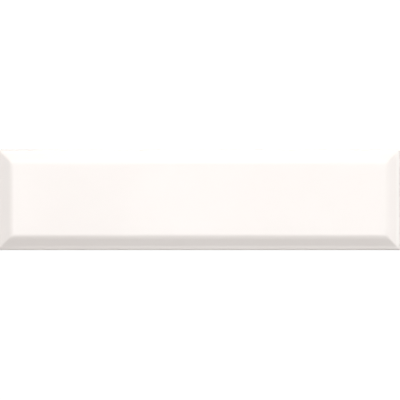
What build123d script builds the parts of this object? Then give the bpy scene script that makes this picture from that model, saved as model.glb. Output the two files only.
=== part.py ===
from build123d import *

import math
import os

# Bevelled subway tile: one dry-pressed and glazed ceramic wall tile, made as a single solid.
# It lies on its back: X runs along the length, Y across the width, and Z up out of the glazed face.
# The origin is the middle of the back, in the plane of the rib tops. All sizes are in millimetres.

# Outline of the tile
length = 300.0
width = 75.0
thickness = 8.0  # back to the flat table in the middle of the face

# Bevelled face: four slopes fall from the table to a thin edge
bevel_width = 10.0  # in plan, from the edge to the crease
edge_height = 4.5  # height of the edge where a slope meets the side
crease_radius = 12.0  # glaze-softened crease between the table and a slope
table_corner = 1.0  # corner radius left on the flat table, inside the crease

# Edges that the die and the glaze leave round
arris_radius = 1.2  # between a slope and the side
foot_corner = 0.4  # corner radius left on a slope's foot, inside the arris
back_chamfer = 0.6  # round the rim of the back

# Waffle back: shallow square recesses that key the adhesive, with ribs between them
key_depth = 0.7
key_recess = 9.5  # side of a recess at the back face
key_rib = 2.5  # rib between two recesses
key_border = 7.0  # least width of the plain border round the pattern
key_draft = 20.0  # lean of a recess's walls, in degrees

# The slopes' angle, and how far each rounding reaches along its faces from the sharp edge
slope = math.atan2(thickness - edge_height, bevel_width)
crease_reach = crease_radius * math.tan(slope / 2)
arris_reach = arris_radius * math.tan((math.pi / 2 - slope) / 2)

# Corner radii in plan: each leaves room for the rounding that runs round it
crease_corner = crease_reach + table_corner
outer_corner = arris_reach + foot_corner

# As many whole recesses each way as the border leaves room for
key_pitch = key_recess + key_rib
key_columns = math.floor((length - 2 * key_border + key_rib) / key_pitch)
key_rows = math.floor((width - 2 * key_border + key_rib) / key_pitch)

with BuildPart() as tile:
    # Slab up to the edge height
    with BuildSketch() as slab:
        RectangleRounded(length, width, outer_corner)
    extrude(amount=edge_height)

    # Four slopes, mitred at the corners, up to the table
    with BuildSketch(Plane.XY.offset(edge_height)) as slope_foot:
        RectangleRounded(length, width, outer_corner)
    with BuildSketch(Plane.XY.offset(thickness)) as table:
        RectangleRounded(length - 2 * bevel_width, width - 2 * bevel_width, crease_corner)
    loft(ruled=True)

    # Soft crease round the table, and the rounded arris round the foot of the slopes
    fillet(tile.faces().sort_by(Axis.Z)[-1].edges(), crease_radius)
    fillet(tile.edges().filter_by_position(Axis.Z, edge_height, edge_height), arris_radius)

    # Rim of the back
    chamfer(tile.faces().sort_by(Axis.Z)[0].edges(), back_chamfer)

    # Keying recesses in the back, narrowing inwards
    with BuildSketch() as keys:
        with GridLocations(key_pitch, key_pitch, key_columns, key_rows):
            Rectangle(key_recess, key_recess)
    extrude(amount=key_depth, taper=key_draft, mode=Mode.SUBTRACT)

tile.part.label = "tile"
os.makedirs("parts", exist_ok=True)
export_step(tile.part, "parts/tile.step")
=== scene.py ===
"""Bevelled subway tile: the glazed piece, the studio round it and the photograph's camera.

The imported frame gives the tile's outline. A blank that carries the tile's own lines is laid flat, and a
Geometry Nodes tree presses it into shape and keys its back. Two finishes dress it: a gloss glaze over the
face and the upper sides, and bare biscuit below the glaze's lip and on the back. Sizes are in metres.
"""

from __future__ import annotations

import logging
import math
from dataclasses import dataclass, field
from enum import Enum
from typing import Any, Union

import bpy
import numpy as np
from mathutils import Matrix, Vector

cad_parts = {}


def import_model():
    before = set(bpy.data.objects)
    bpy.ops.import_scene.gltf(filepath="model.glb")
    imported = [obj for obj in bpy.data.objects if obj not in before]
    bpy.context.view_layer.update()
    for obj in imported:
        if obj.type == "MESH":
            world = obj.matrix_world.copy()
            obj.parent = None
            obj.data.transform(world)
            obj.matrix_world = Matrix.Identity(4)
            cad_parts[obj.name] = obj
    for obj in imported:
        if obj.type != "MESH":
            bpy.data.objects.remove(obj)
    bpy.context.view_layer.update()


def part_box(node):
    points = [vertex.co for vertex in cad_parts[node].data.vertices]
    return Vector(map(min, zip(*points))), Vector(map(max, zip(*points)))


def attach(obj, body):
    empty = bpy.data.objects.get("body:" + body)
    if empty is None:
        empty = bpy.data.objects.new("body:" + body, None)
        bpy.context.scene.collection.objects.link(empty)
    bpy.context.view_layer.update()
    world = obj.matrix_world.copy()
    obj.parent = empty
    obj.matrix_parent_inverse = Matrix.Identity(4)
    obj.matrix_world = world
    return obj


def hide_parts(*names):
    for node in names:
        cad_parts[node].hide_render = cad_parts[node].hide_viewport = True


TILE_NODE = "tile"
TILE_BODY = "root"
FRAME_DIGITS = 6  # the frame's sizes are taken to the micron

log = logging.getLogger("subway_tile")

Colour = tuple[float, float, float]
Span = tuple[float, float]
Number = Union[float, "Term"]

WHITE: Colour = (1.0, 1.0, 1.0)


class Mark(Enum):
    """The attributes that the blank and the pressed tile carry."""

    BARE = "bare"
    RECESS = "recess"
    RECESS_CENTRE = "recess_centre"
    THIN_GLAZE = "thin_glaze"


class Ease(Enum):
    """How a ramp runs from its first value to its last."""

    EVEN = "LINEAR"
    SOFT = "SMOOTHSTEP"


class Term:
    """A number that nodes work out, which takes part in arithmetic as a plain number does."""

    def __init__(self, bench: NodeBench, socket: bpy.types.NodeSocket) -> None:
        """Takes the bench that adds the nodes and the socket that gives the number."""
        self.bench = bench
        self.socket = socket

    def __add__(self, other: Number) -> Term:
        """Adds."""
        return self.bench.math("ADD", self, other)

    def __sub__(self, other: Number) -> Term:
        """Subtracts."""
        return self.bench.math("SUBTRACT", self, other)

    def __rsub__(self, other: float) -> Term:
        """Subtracts this from a plain number."""
        return self.bench.math("SUBTRACT", other, self)

    def __mul__(self, other: Number) -> Term:
        """Multiplies."""
        return self.bench.math("MULTIPLY", self, other)

    def __truediv__(self, other: Number) -> Term:
        """Divides."""
        return self.bench.math("DIVIDE", self, other)

    def __abs__(self) -> Term:
        """Drops the sign."""
        return self.bench.math("ABSOLUTE", self)

    def __lt__(self, other: Number) -> Term:
        """Gives 1 where this is the smaller, and else 0."""
        return self.bench.math("LESS_THAN", self, other)

    def __gt__(self, other: Number) -> Term:
        """Gives 1 where this is the larger, and else 0."""
        return self.bench.math("GREATER_THAN", self, other)


class NodeBench:
    """A node tree under construction."""

    def __init__(self, tree: bpy.types.NodeTree) -> None:
        """Takes the tree that the nodes go into."""
        self.tree = tree

    def add(self, kind: str, feeds: dict[Any, Any] | None = None, **settings: Any) -> bpy.types.Node:
        """Adds a node.

        Args:
            kind: The node's type, such as "ShaderNodeMath".
            feeds: What goes into its inputs, by name or number: a value, a socket or a Term.
            settings: The node's own options, such as operation="ADD".

        Returns:
            The new node.
        """
        node = self.tree.nodes.new(kind)
        for name, value in settings.items():
            setattr(node, name, value)
        for key, value in (feeds or {}).items():
            self.feed(node.inputs[key], value)
        return node

    def feed(self, socket: bpy.types.NodeSocket, value: Any) -> None:
        """Links a socket or a Term to an input, or sets a plain value on it.

        Args:
            socket: The input.
            value: What goes into it.
        """
        source = value.socket if isinstance(value, Term) else value
        if isinstance(source, bpy.types.NodeSocket):
            self.tree.links.new(source, socket)
        else:
            socket.default_value = source

    def term(self, node: bpy.types.Node, output: str | int = 0) -> Term:
        """Gives a node's output as a Term."""
        return Term(self, node.outputs[output])

    def math(self, operation: str, *values: Number) -> Term:
        """Gives the result of one Math node."""
        node = self.add("ShaderNodeMath", dict(enumerate(values)), operation=operation)
        return self.term(node)

    def ramp(self, value: Number, start: Number, end: Number, first: Number, last: Number,
             ease: Ease = Ease.EVEN) -> Term:
        """Runs a number from one value to another over a range, and holds it outside the range.

        Args:
            value: The number that is followed.
            start: Where the range starts.
            end: Where the range ends.
            first: The result at its start.
            last: The result at its end.
            ease: Whether the result runs evenly or eases in and out.

        Returns:
            The result.
        """
        feeds = {0: value, 1: start, 2: end, 3: first, 4: last}
        return self.term(self.add("ShaderNodeMapRange", feeds, interpolation_type=ease.value, clamp=True))

    def noise(self, place: bpy.types.NodeSocket, scale: Number, detail: float, seed: Number) -> Term:
        """Gives a seeded noise between 0 and 1.

        Args:
            place: The coordinates that it reads.
            scale: Its waves for each metre.
            detail: How many finer octaves it has.
            seed: Which noise it is.

        Returns:
            The noise.
        """
        feeds = {"Vector": place, "W": seed, "Scale": scale, "Detail": detail}
        return self.term(self.add("ShaderNodeTexNoise", feeds, noise_dimensions="4D"))

    def swing(self, place: bpy.types.NodeSocket, scale: Number, detail: float, seed: Number) -> Term:
        """Gives the same noise between -1 and 1."""
        return (self.noise(place, scale, detail, seed) - 0.5) * 2.0

    def split(self, vector: bpy.types.NodeSocket) -> tuple[Term, Term, Term]:
        """Gives a vector's three numbers."""
        node = self.add("ShaderNodeSeparateXYZ", {0: vector})
        return self.term(node, 0), self.term(node, 1), self.term(node, 2)

    def mix(self, share: Number, first: Any, second: Any) -> bpy.types.NodeSocket:
        """Gives a colour between two colours.

        Args:
            share: How much of the second colour there is.
            first: The first colour, or the socket that gives it.
            second: The second colour, likewise.

        Returns:
            The socket that gives the mixed colour.
        """
        node = self.add("ShaderNodeMix", data_type="RGBA", clamp_factor=True)
        for key, value in (("Factor_Float", share), ("A_Color", first), ("B_Color", second)):
            socket = next(s for s in node.inputs if s.identifier == key)
            self.feed(socket, value)
        return next(s for s in node.outputs if s.identifier == "Result_Color")


@dataclass(frozen=True)
class Die:
    """The die that shapes the tile, with the rounding that the glaze leaves on its edges."""

    length: float
    width: float
    thickness: float
    bevel_width: float = 0.0100
    edge_height: float = 0.0045
    crease_radius: float = 0.0140
    arris_radius: float = 0.0012
    hip_foot_radius: float = 0.0007
    hip_crease_radius: float = 0.0012
    back_chamfer: float = 0.0006

    @classmethod
    def from_frame(cls, node: str) -> Die:
        """Takes the tile's outer sizes from the frame.

        Args:
            node: The node whose box gives them.

        Returns:
            The die.
        """
        low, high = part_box(node)
        length, width, thickness = (round(side, FRAME_DIGITS) for side in high - low)
        return cls(length, width, thickness)

    @property
    def slope(self) -> float:
        """The bevel's angle from the flat."""
        return math.atan2(self.thickness - self.edge_height, self.bevel_width)

    @property
    def arris_span(self) -> float:
        """How far in from the edge the rounded arris reaches, in plan."""
        return self.arris_radius * (1 - math.sin(self.slope))

    @property
    def side_top(self) -> float:
        """The height where the upright side runs into the arris."""
        return self.edge_height - self.arris_span / math.cos(self.slope)

    @property
    def crease_end(self) -> float:
        """How far in from the edge the flat table starts."""
        return self.bevel_width + self.crease_radius * math.tan(self.slope / 2)

    @property
    def crease_start(self) -> float:
        """How far in from the edge the bevel starts to round off into the table."""
        return self.crease_end - self.crease_radius * math.sin(self.slope)


@dataclass(frozen=True)
class WaffleBack:
    """The pattern of shallow square recesses that keys the back into adhesive."""

    recess: float = 0.0095
    rib: float = 0.0025
    border: float = 0.0070
    depth: float = 0.0007
    rim_round: float = 0.00012
    draft: float = math.radians(20.0)

    def mouths(self, span: float) -> list[Span]:
        """Lays the recesses out along one side of the tile.

        Args:
            span: The tile's size along that side.

        Returns:
            Each recess's start and end, measured from the middle.
        """
        pitch = self.recess + self.rib
        count = math.floor((span - 2 * self.border + self.rib) / pitch)
        first = -(count * pitch - self.rib) / 2
        return [(first + k * pitch, first + k * pitch + self.recess) for k in range(count)]

    def rims(self, span: float) -> list[float]:
        """Gives how far in from the tile's edge the recesses' rims lie, along one side."""
        return [span / 2 - abs(rim) for mouth in self.mouths(span) for rim in mouth]


@dataclass(frozen=True)
class GlazeLip:
    """The rounded lip where the glaze ends on the sides, which wanders a little above bare biscuit."""

    coat: float = 0.00015
    height: float = 0.0018
    roll: float = 0.0003
    wander: float = 0.0006
    wander_scale: float = 110.0
    wander_detail: float = 3.0


@dataclass(frozen=True)
class GlazeSkin:
    """How the fired glaze departs from the die: a ripple, a pool at the bevels' feet, and thin edges.

    The glaze has run a little away from the left end, so the pool is shallower there.
    """

    ripple: float = 0.00003
    ripple_scale: float = 38.0
    ripple_detail: float = 1.0
    pool: float = 0.00027
    pool_start: float = 0.0009
    pool_end: float = 0.0032
    left_share: float = 0.3
    left_reach: float = 0.0250
    arris_reach: float = 0.0016
    crease_reach: float = 0.0024
    hip_reach: float = 0.0016
    crease_share: float = 0.12
    seed: float = 7.0


@dataclass
class Blank:
    """A closed box, as large as the tile, that carries every line that the pressed tile needs."""

    die: Die
    back: WaffleBack
    lip: GlazeLip
    skin: GlazeSkin
    arris_steps: int = 8
    pool_steps: int = 8
    slope_steps: int = 6
    crease_steps: int = 14
    bare_steps: int = 3
    lip_steps: int = 5
    glazed_steps: int = 3
    corner_fade: float = 0.0030
    widest_step: float = 0.0024
    same_line: float = 0.000008

    def corner_lines(self) -> list[float]:
        """Lays out the lines that both sides share near a corner.

        Returns:
            Their distances in from the edge, in no order.
        """
        die, last = self.die, self.die.crease_end + self.corner_fade
        turns = np.linspace(0, math.pi / 2 - die.slope, self.arris_steps + 1)
        arris = die.arris_radius * (1 - np.cos(turns))
        pool = np.linspace(die.arris_span, self.skin.pool_end, self.pool_steps + 1)
        slope = np.linspace(self.skin.pool_end, die.crease_start, self.slope_steps + 1)
        turns = np.linspace(die.slope, 0, self.crease_steps + 1)
        crease = die.crease_end - die.crease_radius * np.sin(turns)
        rims = [*self.back.rims(die.length), *self.back.rims(die.width)]
        lines = [*arris, *pool, *slope, *crease, die.back_chamfer, last, *rims]
        return [line for line in lines if line <= last]

    def lines(self, span: float) -> np.ndarray:
        """Lays out the lines across one side of the tile.

        Args:
            span: The tile's size along that side.

        Returns:
            The lines' places, measured from the middle, in rising order.
        """
        depths = sorted([*self.corner_lines(), *self.back.rims(span), span / 2])
        kept = [depths[0]]
        for depth in depths[1:]:
            start, gap = kept[-1], depth - kept[-1]
            if gap < self.same_line:
                continue
            parts = math.ceil(gap / self.widest_step)
            kept += [start + gap * part / parts for part in range(1, parts + 1)]
        half = span / 2 - np.array(kept[:-1])
        return np.concatenate([-half, [0.0], half[::-1]])

    def rows(self) -> np.ndarray:
        """Lays out the rows of points up a finished side, with the glaze's lip among them.

        Returns:
            The rows' heights, in rising order.
        """
        die, lip = self.die, self.lip
        bare = np.linspace(die.back_chamfer, lip.height, self.bare_steps + 1)
        turns = np.linspace(0, math.pi / 2, self.lip_steps + 1)[1:]
        roll = lip.height + lip.roll * (1 - np.cos(turns))
        brink = die.side_top + self.skin.pool
        glazed = np.linspace(lip.height + lip.roll, brink, self.glazed_steps + 1)[1:]
        return np.concatenate([bare, roll, glazed])

    def mesh(self) -> bpy.types.Mesh:
        """Makes the box, with its bare faces and the mouths of its recesses marked.

        Returns:
            The mesh. Its rows of points are spread over its height as the finished side's rows are.
        """
        across, along = self.lines(self.die.length), self.lines(self.die.width)
        sheet = np.arange(across.size * along.size).reshape(across.size, along.size)
        rim = np.concatenate([sheet[:-1, 0], sheet[-1, :-1], sheet[:0:-1, -1], sheet[0, :0:-1]])
        heights = self.rows()
        shares = (heights - heights[0]) / (heights[-1] - heights[0])
        points, loops = self._points(across, along, rim, shares)

        corners = [sheet[:-1, :-1], sheet[:-1, 1:], sheet[1:, 1:], sheet[1:, :-1]]
        under = np.stack(corners, -1).reshape(-1, 4)
        faces = [under, under[:, ::-1] + sheet.size]
        for low, high in zip(loops, loops[1:]):
            faces.append(np.column_stack([low, np.roll(low, -1), np.roll(high, -1), high]))
        made = bpy.data.meshes.new("tile_blank")
        made.from_pydata(points.tolist(), [], np.concatenate(faces).tolist())

        bare_rows = int(np.sum(heights[1:] <= self.lip.height + self.same_line))
        sides = 2 * len(under)
        bare = np.zeros(len(made.polygons), bool)
        bare[: len(under)] = True
        bare[sides: sides + bare_rows * rim.size] = True
        self._mark(made, Mark.BARE, bare)
        self._mark_recesses(made, across, along)
        return made

    def _points(self, across: np.ndarray, along: np.ndarray, rim: np.ndarray,
                shares: np.ndarray) -> tuple[np.ndarray, list[np.ndarray]]:
        """Places the box's points: the back's, the face's and then the sides' rows.

        Args:
            across: The lines along the length.
            along: The lines along the width.
            rim: The back's points round its rim, in order.
            shares: The rows' heights, as shares of the box's.

        Returns:
            The points, and the loop of points in each row, from the back up to the face.
        """
        x, y = np.meshgrid(across, along, indexing="ij")
        flat = np.column_stack([x.ravel(), y.ravel(), np.zeros(x.size)])
        rise = self.die.thickness
        points, loops = [flat, flat + (0, 0, rise)], [rim]
        start = 2 * x.size
        for share in shares[1:-1]:
            points.append(flat[rim] + (0, 0, share * rise))
            loops.append(np.arange(start, start + rim.size))
            start += rim.size
        loops.append(rim + x.size)
        return np.concatenate(points), loops

    def _mark_recesses(self, made: bpy.types.Mesh, across: np.ndarray, along: np.ndarray) -> None:
        """Marks the faces of the back that lie in a recess's mouth, with the middle of that mouth.

        Args:
            made: The box. Its first faces are the back's.
            across: The lines along the length.
            along: The lines along the width.
        """
        middles = []
        for lines, span in ((across, self.die.length), (along, self.die.width)):
            centres = (lines[:-1] + lines[1:]) / 2
            middle = np.full(len(centres), np.nan)
            for low, high in self.back.mouths(span):
                middle[(centres > low) & (centres < high)] = (low + high) / 2
            middles.append(middle)
        x, y = np.meshgrid(*middles, indexing="ij")
        inside = ~np.isnan(x + y).ravel()
        recess = np.zeros(len(made.polygons), bool)
        recess[: inside.size] = inside
        centre = np.zeros((len(made.polygons), 3))
        centre[: inside.size, 0] = np.where(inside, x.ravel(), 0)
        centre[: inside.size, 1] = np.where(inside, y.ravel(), 0)
        self._mark(made, Mark.RECESS, recess)
        self._mark(made, Mark.RECESS_CENTRE, centre)

    @staticmethod
    def _mark(made: bpy.types.Mesh, mark: Mark, values: np.ndarray) -> None:
        """Stores a yes or no for each face, or a vector for each face."""
        kind, key = ("BOOLEAN", "value") if values.ndim == 1 else ("FLOAT_VECTOR", "vector")
        made.attributes.new(mark.value, kind, "FACE").data.foreach_set(key, values.ravel())


@dataclass(frozen=True)
class Spot:
    """Where a point of the blank lies: how high, how far in from the edge and how far past the mitre."""

    place: bpy.types.NodeSocket
    x: Term
    y: Term
    rise: Term
    on_face: Term
    on_back: Term
    from_end: Term
    from_side: Term
    depth: Term
    past_hip: Term


@dataclass
class Press:
    """The Geometry Nodes tree that presses a blank into a tile, keys its back and dresses it.

    A point is on the face above face_rise and on the back below back_rise, shares of the blank's height.
    """

    die: Die
    back: WaffleBack
    lip: GlazeLip
    skin: GlazeSkin
    corner_fade: float
    face_rise: float = 0.9999
    back_rise: float = 0.0001
    least_radius: float = 1e-7
    upright_limit: float = 0.3
    bench: NodeBench = field(init=False)
    given: dict[str, Term] = field(init=False, default_factory=dict)

    def sizes(self) -> dict[str, float]:
        """Lists the tree's named inputs.

        Returns:
            Each input's name and value.
        """
        die, back, lip, skin = self.die, self.back, self.lip, self.skin
        return {
            "Length": die.length,
            "Width": die.width,
            "Thickness": die.thickness,
            "Edge height": die.edge_height,
            "Bevel width": die.bevel_width,
            "Bevel rise": math.tan(die.slope),
            "Arris radius": die.arris_radius,
            "Arris span": die.arris_span,
            "Side top": die.side_top,
            "Crease radius": die.crease_radius,
            "Crease start": die.crease_start,
            "Crease end": die.crease_end,
            "Hip foot radius": die.hip_foot_radius,
            "Hip crease radius": die.hip_crease_radius,
            "Corner fade": self.corner_fade,
            "Back chamfer": die.back_chamfer,
            "Glaze coat": lip.coat,
            "Lip height": lip.height,
            "Lip roll": lip.roll,
            "Lip wander": lip.wander,
            "Lip wander scale": lip.wander_scale,
            "Ripple": skin.ripple,
            "Ripple scale": skin.ripple_scale,
            "Glaze pool": skin.pool,
            "Pool start": skin.pool_start,
            "Pool end": skin.pool_end,
            "Left pool share": skin.left_share,
            "Left pool reach": skin.left_reach,
            "Thin arris reach": skin.arris_reach,
            "Thin crease reach": skin.crease_reach,
            "Thin hip reach": skin.hip_reach,
            "Thin crease share": skin.crease_share,
            "Recess side": back.recess,
            "Recess depth": back.depth,
            "Recess rim round": back.rim_round,
            "Recess wall lean": math.tan(back.draft),
            "Seed": skin.seed,
        }

    def press(self, blank: bpy.types.Object, glaze: bpy.types.Material,
              biscuit: bpy.types.Material) -> None:
        """Shapes a blank, and leaves it as a plain mesh with no modifier.

        Args:
            blank: The object that holds the blank. Its mesh is replaced by the tile's.
            glaze: The finish of the glazed faces.
            biscuit: The finish of the bare faces.
        """
        tree = self._tree()
        values = {**self.sizes(), "Glaze": glaze, "Biscuit": biscuit}
        modifier = blank.modifiers.new("press", "NODES")
        modifier.node_group = tree
        for item in tree.interface.items_tree:
            if item.in_out == "INPUT" and item.name in values:
                modifier[item.identifier] = values[item.name]
        graph = bpy.context.evaluated_depsgraph_get()
        pressed = bpy.data.meshes.new_from_object(blank.evaluated_get(graph), depsgraph=graph)
        blank.modifiers.remove(modifier)
        raw = blank.data
        blank.data = pressed
        pressed.name = blank.name
        bpy.data.meshes.remove(raw)

    def _tree(self) -> bpy.types.NodeTree:
        """Builds the tree, with a named input for each size and for each finish.

        Returns:
            The tree.
        """
        tree = bpy.data.node_groups.new("tile_press", "GeometryNodeTree")
        interface = tree.interface
        interface.new_socket("Blank", in_out="INPUT", socket_type="NodeSocketGeometry")
        interface.new_socket("Tile", in_out="OUTPUT", socket_type="NodeSocketGeometry")
        for name in self.sizes():
            interface.new_socket(name, in_out="INPUT", socket_type="NodeSocketFloat")
        for name in ("Glaze", "Biscuit"):
            interface.new_socket(name, in_out="INPUT", socket_type="NodeSocketMaterial")
        self.bench = NodeBench(tree)
        entry = self.bench.add("NodeGroupInput")
        self.given = {name: self.bench.term(entry, name) for name in self.sizes()}
        pressed = self._shape(entry.outputs["Blank"])
        keyed = self._key_back(pressed)
        dressed = self._dress(keyed, entry)
        self.bench.add("NodeGroupOutput", {"Tile": dressed})
        return tree

    def _stored(self, mark: Mark, kind: str) -> bpy.types.NodeSocket:
        """Reads an attribute that the blank carries."""
        node = self.bench.add("GeometryNodeInputNamedAttribute", {"Name": mark.value}, data_type=kind)
        return node.outputs["Attribute"]

    def _choose(self, test: Term, yes: Number, no: Number) -> Term:
        """Gives one number where the test holds and another where it doesn't."""
        feeds = {"Switch": test, "True": yes, "False": no}
        return self.bench.term(self.bench.add("GeometryNodeSwitch", feeds, input_type="FLOAT"))

    def _shape(self, blank: bpy.types.NodeSocket) -> bpy.types.NodeSocket:
        """Moves the blank's points to the tile's surface, and stores where the glaze is thin.

        Args:
            blank: The flat blank.

        Returns:
            The tile, with a plain back.
        """
        bench, given, spot = self.bench, self.given, self._spot()
        chamfer, pool = given["Back chamfer"], self._pool(spot)
        side_height, side_inset = self._side(spot, pool)
        back_height = bench.math("MAXIMUM", chamfer - spot.depth, 0.0)
        back_inset = bench.ramp(spot.depth, 0.0, chamfer, given["Glaze coat"], 0.0)
        off_face_height = self._choose(spot.on_back, back_height, side_height)
        off_face_inset = self._choose(spot.on_back, back_inset, side_inset)
        height = self._choose(spot.on_face, self._face_height(spot, pool), off_face_height)
        new_x, new_y = self._plan(spot, self._choose(spot.on_face, 0.0, off_face_inset))

        target = bench.add("ShaderNodeCombineXYZ", {0: new_x, 1: new_y, 2: height}).outputs[0]
        thin = self._choose(spot.on_face, self._thin_glaze(spot), 1.0)
        feeds = {"Geometry": blank, "Name": Mark.THIN_GLAZE.value, "Value": thin}
        stored = bench.add("GeometryNodeStoreNamedAttribute", feeds, data_type="FLOAT", domain="POINT")
        feeds = {"Geometry": stored.outputs[0], "Position": target}
        return bench.add("GeometryNodeSetPosition", feeds).outputs[0]

    def _spot(self) -> Spot:
        """Finds where each point of the blank lies.

        Returns:
            The point's place, and its distances from the back, the edges and the mitre.
        """
        bench, given = self.bench, self.given
        place = bench.add("GeometryNodeInputPosition").outputs[0]
        x, y, z = bench.split(place)
        rise = z / given["Thickness"]
        on_face, on_back = rise > self.face_rise, rise < self.back_rise
        from_end = given["Length"] * 0.5 - abs(x)
        from_side = given["Width"] * 0.5 - abs(y)
        depth = bench.math("MINIMUM", from_end, from_side)
        past_hip = bench.math("MAXIMUM", from_end, from_side) - depth
        return Spot(place, x, y, rise, on_face, on_back, from_end, from_side, depth, past_hip)

    def _pool(self, spot: Spot) -> Term:
        """Gives how high the glaze has pooled at the bevels' feet, which is less near the left end.

        Args:
            spot: Where the point lies.

        Returns:
            The pool's height.
        """
        given = self.given
        from_left = given["Length"] * 0.5 + spot.x
        reach, share = given["Left pool reach"], given["Left pool share"]
        return given["Glaze pool"] * self.bench.ramp(from_left, 0.0, reach, share, 1.0, Ease.SOFT)

    def _side(self, spot: Spot, pool: Term) -> tuple[Term, Term]:
        """Places a point of the side, where the glaze ends in a wandering lip.

        Args:
            spot: Where the point lies.
            pool: The height of the pool at the bevel's foot.

        Returns:
            The point's height, and how far in from the glazed side it lies.
        """
        bench, given, math_of = self.bench, self.given, self.bench.math
        chamfer, lip = given["Back chamfer"], given["Lip height"]
        roll_end = lip + given["Lip roll"]
        brink = given["Side top"] + pool
        level = chamfer + (brink - chamfer) * spot.rise
        to_lip = bench.ramp(level, chamfer, lip, 0.0, 1.0)
        from_lip = bench.ramp(level, roll_end, brink, 1.0, 0.0)
        wander = bench.swing(spot.place, given["Lip wander scale"], self.lip.wander_detail, given["Seed"])
        drift = wander * math_of("MINIMUM", to_lip, from_lip) * given["Lip wander"]
        rolled = 1.0 - bench.ramp(level, lip, roll_end, 0.0, 1.0)
        inset = given["Glaze coat"] * (1.0 - math_of("SQRT", 1.0 - rolled * rolled))
        return level + drift, inset

    def _face_height(self, spot: Spot, pool: Term) -> Term:
        """Gives the face's height over the back: the die's section, the pool and the ripple.

        Args:
            spot: Where the point lies.
            pool: The height of the pool at the bevel's foot.

        Returns:
            The height.
        """
        bench, given, depth = self.bench, self.given, spot.depth
        seed = given["Seed"] + 1.0
        ripple = bench.swing(spot.place, given["Ripple scale"], self.skin.ripple_detail, seed)
        swell = ripple * given["Ripple"] * bench.ramp(depth, 0.0, given["Crease start"], 0.0, 1.0)
        foot = bench.ramp(depth, given["Pool start"], given["Pool end"], pool, 0.0, Ease.SOFT)
        return self._section(depth) + foot + swell

    def _section(self, depth: Term) -> Term:
        """Gives the height that the die leaves: arris, bevel, crease and table.

        Args:
            depth: The distance in from the edge.

        Returns:
            The height.
        """
        given, math_of = self.given, self.bench.math
        radius, crease = given["Arris radius"], given["Crease radius"]
        in_arris = radius - depth
        arris = given["Side top"] + math_of("SQRT", radius * radius - in_arris * in_arris)
        bevel = given["Edge height"] + depth * given["Bevel rise"]
        to_table = given["Crease end"] - depth
        rounded = given["Thickness"] - crease + math_of("SQRT", crease * crease - to_table * to_table)
        inner = self._choose(depth < given["Crease end"], rounded, given["Thickness"])
        upper = self._choose(depth < given["Crease start"], bevel, inner)
        return self._choose(depth < given["Arris span"], arris, upper)

    def _corner_radius(self, spot: Spot) -> Term:
        """Gives the radius on which a point's own line turns the corner.

        Args:
            spot: Where the point lies.

        Returns:
            The radius, which is largest at the crease and runs out on the table and under the edge.
        """
        bench, given = self.bench, self.given
        foot, crest, crease_end = given["Hip foot radius"], given["Hip crease radius"], given["Crease end"]
        on_bevel = bench.ramp(spot.depth, 0.0, given["Crease start"], foot, crest)
        on_table = bench.ramp(spot.depth, crease_end, crease_end + given["Corner fade"], crest, 0.0)
        on_face = bench.math("MINIMUM", on_bevel, on_table)
        radius = self._choose(spot.on_face, on_face, foot - spot.depth)
        return bench.math("MAXIMUM", radius, self.least_radius)

    def _plan(self, spot: Spot, inset: Term) -> tuple[Term, Term]:
        """Places a point in plan, with the corners rounded.

        Args:
            spot: Where the point lies.
            inset: How far in from the glazed side the point is drawn.

        Returns:
            The point's new x and y.
        """
        bench, given, math_of = self.bench, self.given, self.bench.math
        radius = self._corner_radius(spot)
        turn = bench.ramp(spot.past_hip / radius, 0.0, 1.0, math.pi / 4, 0.0)
        near = spot.depth + radius + (inset - radius) * math_of("COSINE", turn)
        far = spot.depth + radius + (inset - radius) * math_of("SINE", turn)
        far = far + math_of("MAXIMUM", spot.past_hip - radius, 0.0)
        at_end = spot.from_end < spot.from_side
        end_gap = self._choose(at_end, near, far)
        side_gap = self._choose(at_end, far, near)
        new_x = math_of("SIGN", spot.x) * (given["Length"] * 0.5 - end_gap)
        new_y = math_of("SIGN", spot.y) * (given["Width"] * 0.5 - side_gap)
        return new_x, new_y

    def _thin_glaze(self, spot: Spot) -> Term:
        """Gives how thin the glaze has run on the face's edges.

        Args:
            spot: Where the point lies.

        Returns:
            A share, from 0 on the flats to 1 on the arris.
        """
        bench, given = self.bench, self.given
        bevel_width, share = given["Bevel width"], given["Thin crease share"]
        arris = bench.ramp(spot.depth, 0.0, given["Thin arris reach"], 1.0, 0.0, Ease.SOFT)
        off_crease = abs(spot.depth - bevel_width)
        crease = bench.ramp(off_crease, 0.0, given["Thin crease reach"], share, 0.0, Ease.SOFT)
        hip = bench.ramp(spot.past_hip, 0.0, given["Thin hip reach"], share, 0.0, Ease.SOFT)
        hip = hip * (spot.depth < bevel_width)
        return bench.math("MAXIMUM", arris, bench.math("MAXIMUM", crease, hip))

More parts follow.
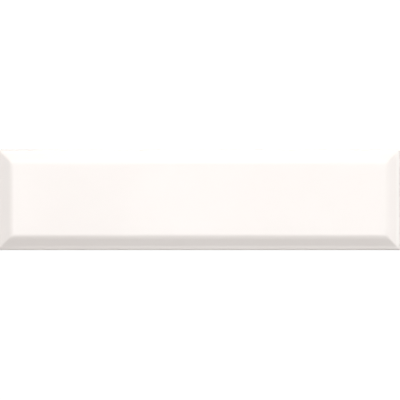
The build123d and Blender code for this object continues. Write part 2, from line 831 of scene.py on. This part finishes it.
    def _key_back(self, tile: bpy.types.NodeSocket) -> bpy.types.NodeSocket:
        """Presses the recesses into the back, in three steps: the rim's round, the wall, the floor's round.

        Args:
            tile: The tile with a plain back.

        Returns:
            The tile with its recesses.
        """
        bench, given = self.bench, self.given
        chosen = self._stored(Mark.RECESS, "BOOLEAN")
        centre = self._stored(Mark.RECESS_CENTRE, "FLOAT_VECTOR")
        inwards = bench.add("ShaderNodeCombineXYZ", {2: 1.0}).outputs[0]
        side, rounding = given["Recess side"], given["Recess rim round"]
        wall = given["Recess depth"] - rounding * 2.0
        steps = ((rounding, rounding), (wall, wall * given["Recess wall lean"]), (rounding, rounding))
        level: Number = 0.0
        for depth, inset in steps:
            level = depth + level
            feeds = {"Mesh": tile, "Selection": chosen, "Offset": inwards, "Offset Scale": depth}
            feeds["Individual"] = False
            sunk = bench.add("GeometryNodeExtrudeMesh", feeds, mode="FACES")
            narrower = side - inset * 2.0
            lift = bench.add("ShaderNodeCombineXYZ", {2: level})
            middle = bench.add("ShaderNodeVectorMath", {0: centre, 1: lift.outputs[0]}, operation="ADD")
            feeds = {"Geometry": sunk.outputs["Mesh"], "Selection": sunk.outputs["Top"]}
            feeds.update({"Scale": narrower / side, "Center": middle.outputs[0]})
            drawn = bench.add("GeometryNodeScaleElements", feeds, domain="FACE")
            tile, chosen, side = drawn.outputs[0], sunk.outputs["Top"], narrower
        return tile

    def _dress(self, tile: bpy.types.NodeSocket, entry: bpy.types.Node) -> bpy.types.NodeSocket:
        """Smooths the glaze and the upright clay, and puts the two finishes on.

        Args:
            tile: The shaped tile.
            entry: The node that gives the finishes.

        Returns:
            The dressed tile.
        """
        bench = self.bench
        bare = self._stored(Mark.BARE, "BOOLEAN")
        _, _, up = bench.split(bench.add("GeometryNodeInputNormal").outputs[0])
        upright = abs(up) < self.upright_limit
        glazed = bench.add("FunctionNodeBooleanMath", {0: bare}, operation="NOT")
        smooth = bench.add("FunctionNodeBooleanMath", {0: glazed.outputs[0], 1: upright}, operation="OR")
        feeds = {"Geometry": tile, "Shade Smooth": smooth.outputs[0]}
        shaded = bench.add("GeometryNodeSetShadeSmooth", feeds)
        real = bench.add("GeometryNodeRealizeInstances", {0: shaded.outputs[0]})
        feeds = {"Geometry": real.outputs[0], "Material": entry.outputs["Glaze"]}
        coated = bench.add("GeometryNodeSetMaterial", feeds)
        feeds = {"Geometry": coated.outputs[0], "Selection": bare, "Material": entry.outputs["Biscuit"]}
        return bench.add("GeometryNodeSetMaterial", feeds).outputs[0]


def new_material(name: str) -> tuple[bpy.types.Material, NodeBench, bpy.types.Node]:
    """Starts a material.

    Args:
        name: The finish's name.

    Returns:
        The material, a bench for its nodes and its main shader.
    """
    made = bpy.data.materials.new(name)
    made.use_nodes = True
    bench = NodeBench(made.node_tree)
    shader = next(n for n in made.node_tree.nodes if n.type == "BSDF_PRINCIPLED")
    return made, bench, shader


def opaque(colour: Colour) -> tuple[float, float, float, float]:
    """Gives a colour as a socket takes it."""
    return (*colour, 1.0)


@dataclass(frozen=True)
class GlazeFinish:
    """Gloss warm-white glaze: faint clouds in its colour, an orange-peel skin, warmer where it is thin."""

    name: str = "white_gloss_glaze"
    tint: Colour = (0.885, 0.834, 0.802)
    cloud_tint: Colour = (0.877, 0.823, 0.790)
    cloud_scale: float = 14.0
    cloud_range: Span = (0.35, 0.65)
    thin_tint: Colour = (0.850, 0.790, 0.725)
    thin_share: float = 0.35
    roughness: Span = (0.05, 0.09)
    roughness_scale: float = 55.0
    roughness_range: Span = (0.3, 0.7)
    peel_scale: float = 520.0
    peel_depth: float = 0.0000025
    index: float = 1.52

    def material(self) -> bpy.types.Material:
        """Builds the material.

        Returns:
            The material.
        """
        made, bench, shader = new_material(self.name)
        place = bench.add("ShaderNodeTexCoord").outputs["Object"]
        cloud = bench.noise(place, self.cloud_scale, detail=4.0, seed=1.0)
        cloud = bench.ramp(cloud, *self.cloud_range, 0.0, 1.0, Ease.SOFT)
        clouded = bench.mix(cloud, opaque(self.tint), opaque(self.cloud_tint))
        thin = bench.term(bench.add("ShaderNodeAttribute", attribute_name=Mark.THIN_GLAZE.value), "Fac")
        colour = bench.mix(thin * self.thin_share, clouded, opaque(self.thin_tint))
        patch = bench.noise(place, self.roughness_scale, detail=3.0, seed=2.0)
        roughness = bench.ramp(patch, *self.roughness_range, *self.roughness)
        peel = bench.noise(place, self.peel_scale, detail=2.0, seed=3.0)
        bump = bench.add("ShaderNodeBump", {"Distance": self.peel_depth, "Height": peel})
        bench.feed(shader.inputs["Base Color"], colour)
        bench.feed(shader.inputs["Roughness"], roughness)
        bench.feed(shader.inputs["Normal"], bump.outputs[0])
        shader.inputs["IOR"].default_value = self.index
        return made


@dataclass(frozen=True)
class BiscuitFinish:
    """Bare fired clay: cream, matt and grainy, with paler rib tops streaked by the kiln's rollers."""

    name: str = "cream_biscuit"
    tint: Colour = (0.700, 0.610, 0.490)
    dark_tint: Colour = (0.600, 0.500, 0.385)
    roughness: float = 0.92
    blotch_scale: float = 60.0
    blotch_range: Span = (0.35, 0.70)
    blotch_share: float = 0.6
    grain_scale: float = 2600.0
    grain_depth: float = 0.00003
    speck_range: Span = (0.62, 0.75)
    speck_share: float = 0.5
    pit_scale: float = 420.0
    pit_range: Span = (0.28, 0.40)
    pit_depth: float = 0.00006
    dust_tint: Colour = (0.790, 0.730, 0.640)
    dust_level: float = 0.0002
    dust_share: float = 0.75
    streak_stretch: tuple[float, float, float] = (6.0, 160.0, 1.0)
    streak_range: Span = (0.40, 0.65)
    streak_shares: Span = (0.25, 1.0)

    def material(self) -> bpy.types.Material:
        """Builds the material.

        Returns:
            The material.
        """
        made, bench, shader = new_material(self.name)
        place = bench.add("ShaderNodeTexCoord").outputs["Object"]
        blotch = bench.noise(place, self.blotch_scale, detail=5.0, seed=1.0)
        blotch = bench.ramp(blotch, *self.blotch_range, 0.0, self.blotch_share, Ease.SOFT)
        grain = bench.noise(place, self.grain_scale, detail=3.0, seed=2.0)
        speck = bench.ramp(grain, *self.speck_range, 0.0, self.speck_share)
        dark = bench.math("MAXIMUM", blotch, speck)
        clay = bench.mix(dark, opaque(self.tint), opaque(self.dark_tint))
        _, _, height = bench.split(place)
        stretched = bench.add("ShaderNodeMapping", {"Vector": place, "Scale": self.streak_stretch})
        streak = bench.noise(stretched.outputs[0], scale=1.0, detail=3.0, seed=3.0)
        streak = bench.ramp(streak, *self.streak_range, *self.streak_shares)
        dust = bench.ramp(height, 0.0, self.dust_level, self.dust_share, 0.0) * streak
        colour = bench.mix(dust, clay, opaque(self.dust_tint))
        pit = bench.noise(place, self.pit_scale, detail=2.0, seed=4.0)
        pit = bench.ramp(pit, *self.pit_range, 0.0, 1.0)
        rough = bench.add("ShaderNodeBump", {"Distance": self.grain_depth, "Height": grain})
        feeds = {"Distance": self.pit_depth, "Height": pit, "Normal": rough.outputs[0]}
        pitted = bench.add("ShaderNodeBump", feeds)
        bench.feed(shader.inputs["Base Color"], colour)
        bench.feed(shader.inputs["Normal"], pitted.outputs[0])
        shader.inputs["Roughness"].default_value = self.roughness
        return made


@dataclass
class SubwayTile:
    """The tile itself: one pressed and fired piece with a glazed face and a bare back."""

    die: Die
    back: WaffleBack = WaffleBack()
    lip: GlazeLip = GlazeLip()
    skin: GlazeSkin = GlazeSkin()
    glaze: GlazeFinish = GlazeFinish()
    biscuit: BiscuitFinish = BiscuitFinish()
    name: str = "glazed_tile"

    def build(self) -> bpy.types.Object:
        """Lays the blank, presses it and puts it in place of the frame's node.

        Returns:
            The finished piece.
        """
        blank = Blank(self.die, self.back, self.lip, self.skin)
        piece = bpy.data.objects.new(self.name, blank.mesh())
        bpy.context.scene.collection.objects.link(piece)
        press = Press(self.die, self.back, self.lip, self.skin, blank.corner_fade)
        press.press(piece, self.glaze.material(), self.biscuit.material())
        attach(piece, TILE_BODY)
        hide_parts(TILE_NODE)
        return piece


def direction(bearing: float, elevation: float) -> Vector:
    """Gives the unit vector from the tile towards a place in the studio.

    Args:
        bearing: Degrees round from the photograph's top towards its right.
        elevation: Degrees above the floor.

    Returns:
        The unit vector.
    """
    turned, raised = math.radians(bearing), math.radians(elevation)
    level = math.cos(raised)
    return Vector((level * math.sin(turned), level * math.cos(turned), math.sin(raised)))


@dataclass(frozen=True)
class Softbox:
    """A soft rectangular lamp, placed by its direction from the tile."""

    name: str
    radiance: float
    wide: float
    high: float
    distance: float
    bearing: float
    elevation: float

    def build(self) -> bpy.types.Object:
        """Hangs the lamp, facing the tile.

        Returns:
            The lamp.
        """
        data = bpy.data.lights.new(self.name, "AREA")
        data.shape = "RECTANGLE"
        data.size, data.size_y = self.wide, self.high
        data.energy = self.radiance * math.pi * self.wide * self.high
        lamp = bpy.data.objects.new(self.name, data)
        towards = direction(self.bearing, self.elevation)
        lamp.location = towards * self.distance
        lamp.rotation_mode = "QUATERNION"
        lamp.rotation_quaternion = towards.to_track_quat("Z", "Y")
        bpy.context.scene.collection.objects.link(lamp)
        return lamp


@dataclass(frozen=True)
class TentGlow:
    """A bright patch on the light tent, even over its core and faded out at its rim, both in degrees."""

    name: str
    radiance: float
    bearing: float
    elevation: float
    core: float
    rim: float

    def glow(self, bench: NodeBench, towards: bpy.types.NodeSocket) -> Term:
        """Adds the patch's nodes.

        Args:
            bench: The bench of the surroundings' tree.
            towards: The direction looked in.

        Returns:
            The patch's radiance in that direction.
        """
        feeds = {0: towards, 1: direction(self.bearing, self.elevation)}
        node = bench.add("ShaderNodeVectorMath", feeds, operation="DOT_PRODUCT", label=self.name)
        rim, core = math.cos(math.radians(self.rim)), math.cos(math.radians(self.core))
        return bench.ramp(bench.term(node, "Value"), rim, core, 0.0, self.radiance, Ease.SOFT)


@dataclass(frozen=True)
class LightTent:
    """The surroundings: white at the horizon, dim above it, with bright patches overhead.

    The patches' numbers are radiance, bearing, elevation, core and rim. The bands are heights on the unit
    sphere.
    """

    name: str = "light_tent"
    glows: tuple[TentGlow, ...] = (
        TentGlow("overhead", 3.64, 0.0, 83.2, 8.7, 29.6),
        TentGlow("overhead_centre", 0.75, -90.0, 89.8, 0.3, 2.1),
        TentGlow("overhead_right", 0.32, 90.0, 84.6, 2.3, 5.2),
        TentGlow("overhead_left", 0.80, -90.0, 84.0, 0.8, 2.4),
        TentGlow("top_panel", 2.9, 0.0, 57.0, 6.6, 11.0),
        TentGlow("bottom_panel", 0.95, 175.0, 60.5, 4.5, 9.5),
        TentGlow("left_panel", 1.65, -90.0, 57.2, 8.1, 16.6),
        TentGlow("right_panel", 2.95, 90.0, 56.5, 7.9, 14.6),
    )
    horizon: float = 0.80
    zenith: float = 0.03
    below: float = 0.40
    below_band: Span = (-0.06, -0.03)
    horizon_band: Span = (0.06, 0.30)

    def build(self) -> bpy.types.World:
        """Makes the tent and puts it round the scene.

        Returns:
            The surroundings.
        """
        world = bpy.data.worlds.new(self.name)
        bpy.context.scene.world = world
        world.use_nodes = True
        bench = NodeBench(world.node_tree)
        background = next(n for n in world.node_tree.nodes if n.type == "BACKGROUND")
        towards = bench.add("ShaderNodeTexCoord").outputs["Generated"]
        _, _, up = bench.split(towards)
        above = bench.ramp(up, *self.horizon_band, self.horizon, self.zenith, Ease.SOFT)
        for patch in self.glows:
            above = above + patch.glow(bench, towards)
        background.inputs["Color"].default_value = opaque(WHITE)
        bench.feed(background.inputs["Strength"], bench.ramp(up, *self.below_band, self.below, above))
        return world


@dataclass(frozen=True)
class FloorFinish:
    """Matt white paper with painted light: it glows, brightest round the tile, and the glow falls off a
    little far away, standing in for the lamps' light and washing out the tile's shadow.
    """

    name: str = "white_floor"
    albedo: float = 0.15
    roughness: float = 1.0
    shine: float = 0.0
    # painted light: the floor's glow stands in for the lamps' light, so the tile's shadow barely shows
    glow: float = 0.92
    far_painted_light: float = 0.684
    fade: Span = (0.9, 6.0)

    def material(self) -> bpy.types.Material:
        """Builds the material.

        Returns:
            The material.
        """
        made, bench, shader = new_material(self.name)
        shader.inputs["Base Color"].default_value = opaque((self.albedo, self.albedo, self.albedo))
        shader.inputs["Roughness"].default_value = self.roughness
        shader.inputs["Specular IOR Level"].default_value = self.shine
        shader.inputs["Emission Color"].default_value = opaque(WHITE)
        # painted light: the glow is brightest round the tile and falls off far away, as lamp light would
        place = bench.add("ShaderNodeTexCoord").outputs["Object"]
        away = bench.term(bench.add("ShaderNodeVectorMath", {0: place}, operation="LENGTH"), "Value")
        glow = bench.ramp(away, *self.fade, self.glow, self.far_painted_light, Ease.SOFT)
        bench.feed(shader.inputs["Emission Strength"], glow)
        return made


@dataclass(frozen=True)
class StudioFloor:
    """The pale floor, a square sheet just under the tile's back."""

    name: str = "studio_floor"
    half: float = 40.0
    drop: float = 0.00002
    finish: FloorFinish = FloorFinish()

    def build(self) -> bpy.types.Object:
        """Lays the floor.

        Returns:
            The floor.
        """
        half, level = self.half, -self.drop
        corners = [(-half, -half, level), (half, -half, level), (half, half, level), (-half, half, level)]
        mesh = bpy.data.meshes.new(self.name)
        mesh.from_pydata(corners, [], [(0, 1, 2, 3)])
        mesh.materials.append(self.finish.material())
        floor = bpy.data.objects.new(self.name, mesh)
        # The tent's light from below stands in for the floor's, which would flood the tile's sides
        floor.visible_diffuse = floor.visible_glossy = False
        bpy.context.scene.collection.objects.link(floor)
        return floor


@dataclass(frozen=True)
class Studio:
    """A white floor in a light tent, with a low key light from the photograph's top, a bit to its right."""

    floor: StudioFloor = StudioFloor()
    tent: LightTent = LightTent()
    key: Softbox = Softbox(
        name="key_softbox", radiance=9.0, wide=0.95, high=0.555, distance=1.6, bearing=9.0, elevation=20.0
    )

    def build(self) -> None:
        """Makes the floor, the key light and the tent, and shows tones as they are."""
        self.floor.build()
        self.key.build()
        self.tent.build()
        bpy.context.scene.view_settings.view_transform = "Standard"


@dataclass(frozen=True)
class PhotoCamera:
    """The photograph's camera, straight above the face. The tile's edges are given in its pixels."""

    name: str = "photo_camera"
    picture: float = 400.0
    left: float = -1.8
    right: float = 400.2
    top: float = 149.5
    bottom: float = 250.0
    lens: float = 200.0
    sensor: float = 36.0
    clip: Span = (0.01, 100.0)

    def build(self, die: Die) -> bpy.types.Object:
        """Makes the camera and makes it the scene's.

        Args:
            die: The tile's sizes, which scale the picture.

        Returns:
            The camera.
        """
        pixel = die.length / (self.right - self.left)
        across = (self.picture - self.left - self.right) / 2 * pixel
        up = (self.top + self.bottom - self.picture) / 2 * pixel
        distance = self.picture * pixel * self.lens / self.sensor
        data = bpy.data.cameras.new(self.name)
        data.lens, data.sensor_width = self.lens, self.sensor
        data.clip_start, data.clip_end = self.clip
        camera = bpy.data.objects.new(self.name, data)
        camera.location = (across, up, die.side_top + distance)
        bpy.context.scene.collection.objects.link(camera)
        bpy.context.scene.camera = camera
        return camera


def main() -> None:
    """Builds the tile, its studio and its camera."""
    logging.basicConfig(level=logging.INFO, format="%(name)s: %(message)s")
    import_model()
    die = Die.from_frame(TILE_NODE)
    piece = SubwayTile(die).build()
    log.info("%s: %d faces", piece.name, len(piece.data.polygons))
    Studio().build()
    camera = PhotoCamera().build(die)
    log.info("%s: %.3f m above the floor", camera.name, camera.location.z)


if __name__ == "__main__":
    main()
